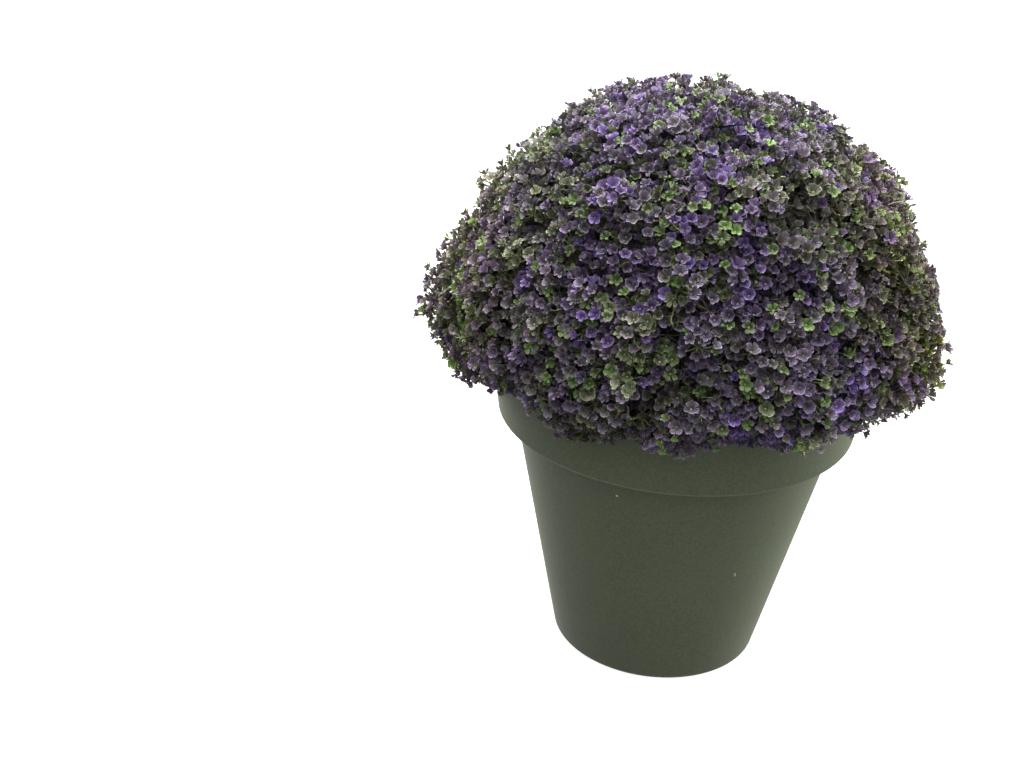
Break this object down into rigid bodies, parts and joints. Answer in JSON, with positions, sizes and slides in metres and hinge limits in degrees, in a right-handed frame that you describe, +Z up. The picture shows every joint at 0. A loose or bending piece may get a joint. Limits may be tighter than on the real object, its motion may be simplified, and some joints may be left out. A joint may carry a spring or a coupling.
{
  "type": "potted verbena",
  "caption": "Mounded flowering plant with small cupped violet and green florets on thin stalks, standing in a round tapered pot with a plain collar.",
  "frame": {"origin": "centre of the pot's flat underside, on the ground", "axes": "+Z up along the pot's axis, -Y towards the viewer of the picture"},
  "size_m": [0.4, 0.3953, 0.4691],
  "materials": {
    "pot": "matte, fine moulded grain",
    "compost": "loose dark potting compost of peat fibre and bark",
    "stem": "slender green stems and stalks",
    "floret": "thin cupped petals, violet to dusky mauve and fresh green, paler at the rim, soft gloss"
  },
  "bodies": {
    "root": {"pot": "pot", "compost": "compost", "stem_1": "stem", "stem_2": "stem", "stem_3": "stem", "stem_4": "stem", "stem_5": "stem", "stem_6": "stem", "stem_7": "stem", "stem_8": "stem", "stem_9": "stem", "flower_spray_01": "floret", "flower_spray_02": "floret", "flower_spray_03": "floret", "flower_spray_04": "floret", "flower_spray_05": "floret", "flower_spray_06": "floret", "flower_spray_07": "floret", "flower_spray_08": "floret", "flower_spray_09": "floret", "flower_spray_10": "floret", "flower_spray_11": "floret", "flower_spray_12": "floret", "flower_spray_13": "floret", "flower_spray_14": "floret", "flower_spray_15": "floret", "flower_spray_16": "floret", "flower_spray_17": "floret", "flower_spray_18": "floret", "flower_spray_19": "floret", "flower_spray_20": "floret", "flower_spray_21": "floret", "flower_spray_22": "floret", "flower_spray_23": "floret", "flower_spray_24": "floret", "flower_spray_25": "floret", "flower_spray_26": "floret", "flower_spray_27": "floret", "flower_spray_28": "floret", "flower_spray_29": "floret", "flower_spray_30": "floret", "flower_spray_31": "floret", "flower_spray_32": "floret", "flower_spray_33": "floret", "flower_spray_34": "floret", "flower_spray_35": "floret", "flower_spray_36": "floret", "flower_spray_37": "floret", "flower_spray_38": "floret", "flower_spray_39": "floret", "flower_spray_40": "floret", "flower_spray_41": "floret", "flower_spray_42": "floret", "flower_spray_43": "floret", "flower_spray_44": "floret", "flower_spray_45": "floret"}
  },
  "joints": []
}
